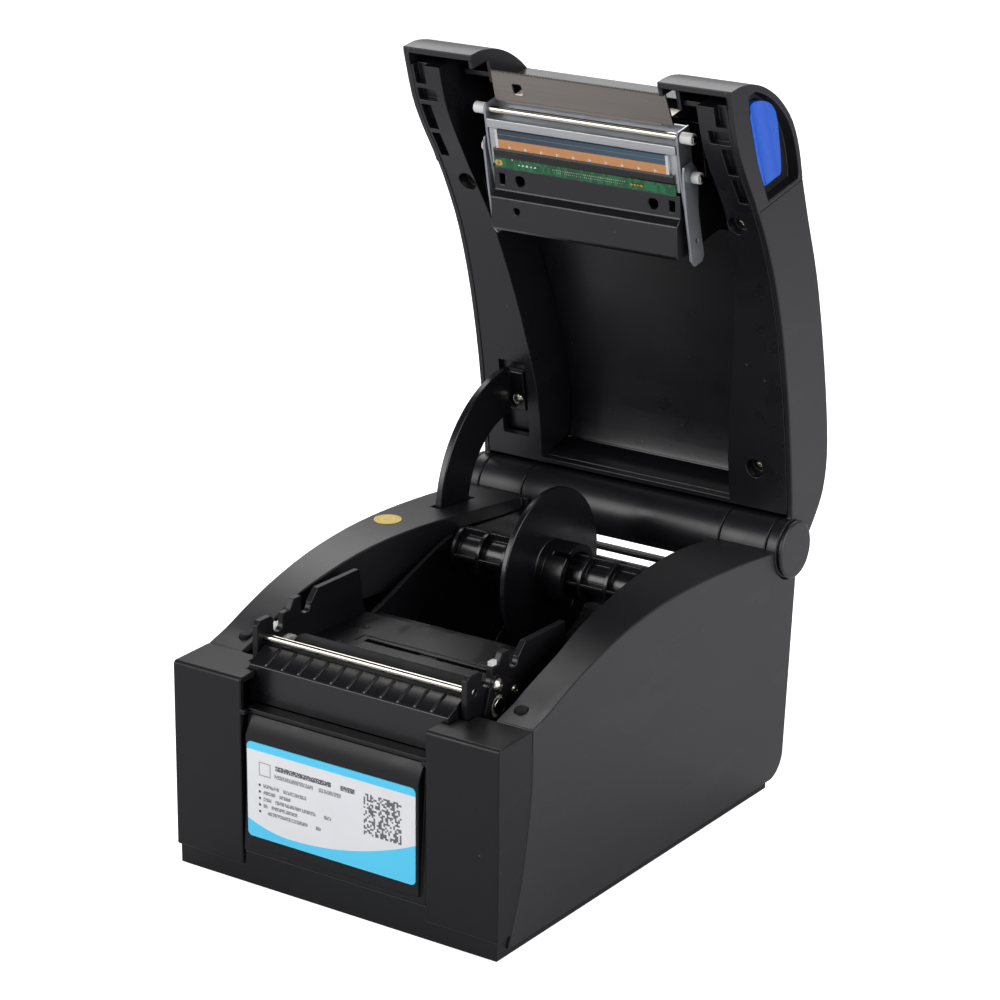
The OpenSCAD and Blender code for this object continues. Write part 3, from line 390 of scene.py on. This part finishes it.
# %% Assign finishes
finish_of_slot = {
    "black_abs": black_abs, "inner_black": inner_black, "rubber": rubber, "label_paper": label_paper,
    "gold_foil": gold, "chrome_rod": chrome_rod, "steel_black": steel_black, "steel_bright": steel_bright,
    "screw_steel": screw_steel, "aluminium_block": aluminium, "nylon_white": nylon_white,
    "brass_pinion": brass, "motor_grey": motor_grey, "board_green": board_green, "chip_black": chip_black,
    "ceramic_copper": ceramic, "button_blue": button_blue, "key_grey": key_grey, "rocker_red": rocker_red,
    "sensor_dark": sensor_dark, "light_green": light_green,
}
closer_finish = {
    # the front bezel, front panel and base tray take the darker copy of the satin black, which is painted shade
    "front_bezel": front_painted_shade_abs, "front_panel": front_painted_shade_abs, "base_tray": front_painted_shade_abs, "tear_blade": blade_steel,
    "lid_inner_frame": lid_black, "roll_cover": lid_black, "head_housing": lid_black,
    "roll_spindle": ribbed_black, "roll_flange": ribbed_black, "flange_collar": ribbed_black,
    "retaining_plate": plate_dark,
    "driver_board": head_green,
}
finish_of = {node: closer_finish.get(node, finish_of_slot[slot_of[node]]) for node in nodes}
for node, thing in nodes.items():
    thing.data.materials.clear()
    thing.data.materials.append(finish_of[node])
print(len(finish_of), "nodes have a finish")

# %% [markdown]
# ## Rounded edges
# No moulded or pressed edge is perfectly sharp, and the thin highlight along it is what makes a part look
# real. The CAD mesh itself is never touched. A copy has its loose triangles joined and its flat faces merged,
# and a Bevel modifier then rounds every edge that turns by more than its angle.

# %% Round a copy of a node
WELD = 3e-6                      # loose corners closer than this, in metres, are one
NEARLY_FLAT = math.radians(0.4)  # faces that meet at less than this are one face
# these have faces that curl round a notch, which a bevel would fold unless they are split first
hooked_outlines = {"lid_cover", "lid_front_cover", "lid_inner_frame", "main_housing", "roll_spindle",
                   "head_housing", "head_bracket", "paper_bay"}


def clean_copy(node, turn):
    """The node's mesh with its flat faces merged and its gentle edges smooth, and the volume it holds."""
    source = nodes[node].data
    mesh = bpy.data.meshes.new(node + "_joined")
    mesh.from_pydata([v.co[:] for v in source.vertices], [], [p.vertices[:] for p in source.polygons])
    work = bmesh.new()
    work.from_mesh(mesh)
    bmesh.ops.remove_doubles(work, verts=work.verts, dist=WELD)
    bmesh.ops.dissolve_limit(work, angle_limit=NEARLY_FLAT, verts=work.verts, edges=work.edges)
    if node in hooked_outlines:
        bmesh.ops.connect_verts_concave(work, faces=work.faces)
    for face in work.faces:
        face.smooth = True
    for edge in work.edges:
        edge.smooth = not edge.is_manifold or edge.calc_face_angle() < turn
    volume = work.calc_volume()
    work.to_mesh(mesh)
    work.free()
    return mesh, volume


def rounded(node, width, segments=2, turn=math.radians(32)):
    """A copy of a node with edges rounded by width mm, which takes the node's place."""
    mesh, volume = clean_copy(node, turn)
    piece = bpy.data.objects.new(node + "_finished", mesh)
    bpy.context.scene.collection.objects.link(piece)
    bevel = piece.modifiers.new("edges", "BEVEL")
    bevel.width, bevel.segments, bevel.limit_method, bevel.angle_limit = width * MM, segments, "ANGLE", turn
    bevel.use_clamp_overlap = False
    even = piece.modifiers.new("even_shading", "WEIGHTED_NORMAL")
    even.mode, even.weight, even.keep_sharp = "FACE_AREA", 100, True
    ready = piece.evaluated_get(bpy.context.evaluated_depsgraph_get())
    piece.data = bpy.data.meshes.new_from_object(ready)
    piece.modifiers.clear()
    piece.data.materials.clear()
    piece.data.materials.append(finish_of[node])
    work = bmesh.new()
    work.from_mesh(piece.data)
    change = work.calc_volume() / volume - 1
    work.free()
    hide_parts(node)
    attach(piece, body_of[node])
    print(f"{piece.name}: {len(piece.data.polygons)} faces, volume {change:+.2%}")
    return piece


edge_widths = {
    "main_housing": 0.45, "front_bezel": 0.5, "front_panel": 0.35, "base_tray": 0.3, "lid_cover": 0.5,
    "lid_front_cover": 0.3, "lid_inner_frame": 0.2, "roll_cover": 0.2, "hinge_caps": 0.3, "stay_arm": 0.4,
    "output_platform": 0.2, "paper_guide": 0.2, "paper_bay": 0.3, "frame_left": 0.25, "frame_right": 0.25,
    "retaining_plate": 0.25, "head_housing": 0.4, "head_bracket": 0.15, "heat_sink": 0.2, "tear_rod": 0.2,
    "roll_spindle": 0.2, "roll_flange": 0.4, "flange_collar": 0.3, "release_button_right": 0.25,
    "release_button_left": 0.25, "feed_key": 0.4, "sensor_rail": 0.2, "sensor_slider": 0.3,
    "deck_bumpers": 0.5, "head_bushes": 0.35, "platen_bushes": 0.3, "head_rods": 0.3, "platen_rubber": 0.4,
    "platen_shaft": 0.3, "rubber_feet": 0.4, "switch_rocker": 0.4, "switch_frame": 0.3, "usb_socket": 0.15,
    "serial_socket": 0.2, "drawer_socket": 0.25, "dc_jack": 0.3, "io_plate": 0.15, "motor_case": 0.4,
}
for node, width in edge_widths.items():
    rounded(node, width)

# %% [markdown]
# ## Rows of small things
# Contacts, solder pads and heater marks all repeat along a line, so one Geometry Nodes recipe makes them. It
# lays points on a line, puts a small prism on each, lets chance change their size a little, and makes the
# result real, because an exporter drops instances.

# %% Recipe for a row
def row_recipe():
    tree = bpy.data.node_groups.new("row_of_prisms", "GeometryNodeTree")
    tree.interface.new_socket("Geometry", in_out="OUTPUT", socket_type="NodeSocketGeometry")
    for name, kind in (("Count", "Int"), ("Step", "Float"), ("Sides", "Int"), ("Radius", "Float"),
                       ("Depth", "Float"), ("Stretch", "Vector"), ("Wobble", "Float"), ("Seed", "Int"),
                       ("Finish", "Material")):
        tree.interface.new_socket(name, in_out="INPUT", socket_type="NodeSocket" + kind)

    def step(kind, settings=None, sockets=None):
        made = tree.nodes.new(kind)
        for key, value in (settings or {}).items():
            setattr(made, key, value)
        for key, value in (sockets or {}).items():
            if isinstance(value, bpy.types.NodeSocket):
                tree.links.new(value, made.inputs[key])
            else:
                made.inputs[key].default_value = value
        return made.outputs

    given = step("NodeGroupInput")
    offset = step("ShaderNodeCombineXYZ", None, {0: given["Step"]})
    line = step("GeometryNodeMeshLine", {"mode": "OFFSET", "count_mode": "TOTAL"},
                {"Count": given["Count"], "Offset": offset[0]})
    prism = step("GeometryNodeMeshCylinder", {"fill_type": "NGON"},
                 {"Vertices": given["Sides"], "Radius": given["Radius"], "Depth": given["Depth"]})
    low = step("ShaderNodeMath", {"operation": "SUBTRACT"}, {0: 1.0, 1: given["Wobble"]})
    high = step("ShaderNodeMath", {"operation": "ADD"}, {0: 1.0, 1: given["Wobble"]})
    chance = step("FunctionNodeRandomValue", {"data_type": "FLOAT"},
                  {2: low[0], 3: high[0], "Seed": given["Seed"]})
    size = step("ShaderNodeVectorMath", {"operation": "SCALE"},
                {0: given["Stretch"], "Scale": next(o for o in chance if o.type == "VALUE" and o.enabled)})
    placed = step("GeometryNodeInstanceOnPoints", None,
                  {"Points": line[0], "Instance": prism["Mesh"], "Scale": size[0]})
    real = step("GeometryNodeRealizeInstances", None, {0: placed[0]})
    coloured = step("GeometryNodeSetMaterial", None, {"Geometry": real[0], "Material": given["Finish"]})
    step("NodeGroupOutput", None, {0: coloured[0]})
    return tree


row_tree = row_recipe()


def row(name, place, start, body, slot, finish, count, step, sides=4, radius=0.5, depth=0.1,
        stretch=(1, 1, 1), wobble=0.0, seed=1, lean=0.0):
    """A row along X that begins at start, in drawing millimetres, and rides on a body."""
    piece = bpy.data.objects.new(name, bpy.data.meshes.new(name))
    bpy.context.scene.collection.objects.link(piece)
    live = piece.modifiers.new("row", "NODES")
    live.node_group = row_tree
    values = {"Count": count, "Step": step, "Sides": sides, "Radius": radius, "Depth": depth,
              "Stretch": stretch, "Wobble": wobble, "Seed": seed, "Finish": finish}
    for socket in row_tree.interface.items_tree:
        if socket.in_out == "INPUT":
            live[socket.identifier] = values[socket.name]
    ready = piece.evaluated_get(bpy.context.evaluated_depsgraph_get())
    piece.data = bpy.data.meshes.new_from_object(ready)
    piece.modifiers.clear()
    piece.data.transform(place @ Matrix.Translation(start) @ Matrix.Rotation(lean, 4, "X"))
    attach(piece, body)
    print(f"{name}: {count} pieces, {len(piece.data.polygons)} faces")
    return piece


# %% [markdown]
# ## What the head and the sockets carry
# Along the head run small pale marks on the copper field, a row of solder pads and a few parts on the green
# board, and a gold ground pad at its left end. The sockets at the back get their contacts.

# %% Rows on the head and in the sockets
FACE_Z = 91.4 - 0.03   # working face of the ceramic with the lid shut
BOARD_Z = 91.6 - 0.05  # underside of the driver board
mark_paint = moulded("pale_mark", rgb(190, 192, 200), rgb(214, 216, 222), 0.4)
row("heater_marks", lid_place, (-33.6, 42.6, FACE_Z), "print_head", "ceramic_copper", mark_paint,
    10, 7.5, sides=3, radius=1.0, depth=0.06, stretch=(0.9, 0.8, 1))
row("solder_pads", lid_place, (-14, 49.3, BOARD_Z), "print_head", "board_green", screw_steel,
    40, 0.85, sides=6, radius=0.22, depth=0.16, wobble=0.25, seed=4)
row("solder_pads_low", lid_place, (-13.6, 50.4, BOARD_Z), "print_head", "board_green", screw_steel,
    34, 0.95, sides=6, radius=0.18, depth=0.14, wobble=0.3, seed=9)
row("board_parts_left", lid_place, (-30, 49.6, BOARD_Z - 0.15), "print_head", "board_green", nylon_white,
    5, 1.9, sides=4, radius=0.6, depth=0.4, stretch=(1, 0.7, 1), wobble=0.3, seed=2)
row("board_parts_right", lid_place, (22.5, 49.8, BOARD_Z - 0.2), "print_head", "board_green", brass,
    4, 1.5, sides=4, radius=0.7, depth=0.5, stretch=(1, 0.8, 1), wobble=0.35, seed=6)
row("ground_pad", lid_place, (-40.3, 49.8, BOARD_Z), "print_head", "board_green", tinned_contact,
    2, 1.1, sides=20, radius=1.25, depth=0.2)
FACE_ON = math.radians(90)
row("usb_contacts", base_place, (23.2, 197, 18.0), "base", "steel_bright", tinned_contact,
    4, 1.5, sides=4, radius=0.45, depth=9, stretch=(1, 0.5, 1), lean=FACE_ON)
row("serial_contacts_top", base_place, (-9, 202, 21.4), "base", "steel_bright", tinned_contact,
    5, 2.75, sides=16, radius=0.45, depth=6, lean=FACE_ON)
row("serial_contacts_low", base_place, (-7.6, 202, 17.6), "base", "steel_bright", tinned_contact,
    4, 2.75, sides=16, radius=0.45, depth=6, lean=FACE_ON)
row("drawer_contacts", base_place, (-56, 196, 24.6), "base", "chip_black", tinned_contact,
    6, 1.4, sides=4, radius=0.35, depth=9, stretch=(1, 0.6, 1), lean=FACE_ON)

# %% [markdown]
# ## Floor and soft light
# A plain floor runs far past the picture. The camera alone sees it glow a little, so it turns white and only
# a faint contact shadow is left, while the black plastic mirrors a calmer grey. A wide box of light hangs
# above and behind, which draws the long sheen down the curved deck and the lid, a second one on the right
# lifts the side wall, one in front keeps the label readable, and a weak one near the camera fills the lid.

# %% Floor, lights and sky
floor_mesh = bpy.data.meshes.new("floor")
reach = 14.0
floor_mesh.from_pydata([(-reach, -reach, 0), (reach, -reach, 0), (reach, reach, 0), (-reach, reach, 0)], [],
                       [(0, 1, 2, 3)])
floor = bpy.data.objects.new("floor", floor_mesh)
bpy.context.scene.collection.objects.link(floor)
paint = Finish("floor_paint")
shade = paint.noise(3, 2)
seen = paint.node("ShaderNodeLightPath")
paint.set(base_color=paint.mix(shade, rgb(222, 222, 224), rgb(228, 228, 230)), roughness=0.6 + shade * 0.1,
          specular_ior_level=0.1, emission_color=paint.mix(seen, (0, 0, 0, 1), (1, 1, 1, 1)),
          emission_strength=0.92)
floor_mesh.materials.append(paint.material)


def softbox(name, spot, aim, size, power):
    lamp = bpy.data.lights.new(name, "AREA")
    lamp.shape, lamp.size, lamp.size_y, lamp.energy = "RECTANGLE", size[0], size[1], power
    holder = bpy.data.objects.new(name, lamp)
    bpy.context.scene.collection.objects.link(holder)
    holder.location = spot
    holder.rotation_euler = (Vector(aim) - Vector(spot)).to_track_quat("-Z", "Y").to_euler()
    print(name, "at", spot, power, "W")


softbox("overhead_behind", (-0.35, 0.85, 1.15), (0, 0, 0.12), (1.3, 0.9), 14)
softbox("right_side", (1.35, 0.1, 0.5), (0, 0, 0.1), (0.9, 1.1), 13)
softbox("front_left", (-0.7, -1.3, 0.75), (0, 0, 0.14), (0.9, 0.9), 13)
softbox("near_camera", (0.75, -1.15, 1.05), (0, 0, 0.18), (0.7, 0.7), 4)


SKY_LOW, SKY_TOP = (0.42, 0.42, 0.43, 1), (0.06, 0.06, 0.065, 1)


def studio_sky():
    """White where the camera looks past the printer; to everything else, pale low down and dark overhead."""
    sky = bpy.data.worlds.new("studio")
    bpy.context.scene.world = sky
    sky.use_nodes = True
    tree, light = sky.node_tree, sky.node_tree.nodes["Background"]
    way, split = tree.nodes.new("ShaderNodeTexCoord"), tree.nodes.new("ShaderNodeSeparateXYZ")
    fade, path, choose = (tree.nodes.new("ShaderNode" + kind) for kind in ("ValToRGB", "LightPath", "Mix"))
    choose.data_type = "RGBA"
    fade.color_ramp.elements[0].position, fade.color_ramp.elements[0].color = 0.05, SKY_LOW
    fade.color_ramp.elements[1].position, fade.color_ramp.elements[1].color = 0.7, SKY_TOP
    tree.links.new(way.outputs["Generated"], split.inputs[0])
    tree.links.new(split.outputs[2], fade.inputs[0])
    tree.links.new(path.outputs["Is Camera Ray"], choose.inputs[0])
    tree.links.new(fade.outputs[0], choose.inputs[6])
    choose.inputs[7].default_value = (1, 1, 1, 1)
    tree.links.new(choose.outputs[2], light.inputs["Color"])


studio_sky()

# %% [markdown]
# ## Camera
# A long lens stands off to the right and a little above, so the near and far edges stay almost parallel.
# The matrix is built from three angles: how far round, how high, and a slight roll.

# %% Set the camera
lens = bpy.data.cameras.new("product_lens")
lens.lens, lens.sensor_width = 117.6, 36.0
camera = bpy.data.objects.new("camera", lens)
bpy.context.scene.collection.objects.link(camera)
round_by, high, roll = (math.radians(a) for a in (34.523, 18.707, 0.481))
back = Vector((math.sin(round_by) * math.cos(high), -math.cos(round_by) * math.cos(high), math.sin(high)))
right = Vector((math.cos(round_by), math.sin(round_by), 0))
up = back.cross(right)
right, up = (right * math.cos(roll) + up * math.sin(roll), up * math.cos(roll) - right * math.sin(roll))
turned = Matrix((right, up, back)).transposed().to_4x4()
camera.matrix_world = Matrix.Translation(base_place @ Vector((678.23, -877.74, 537.89))) @ turned
lens.clip_end = 60
bpy.context.scene.camera = camera
bpy.context.scene.view_settings.view_transform = "Standard"
print("camera at", tuple(round(v, 3) for v in camera.location))
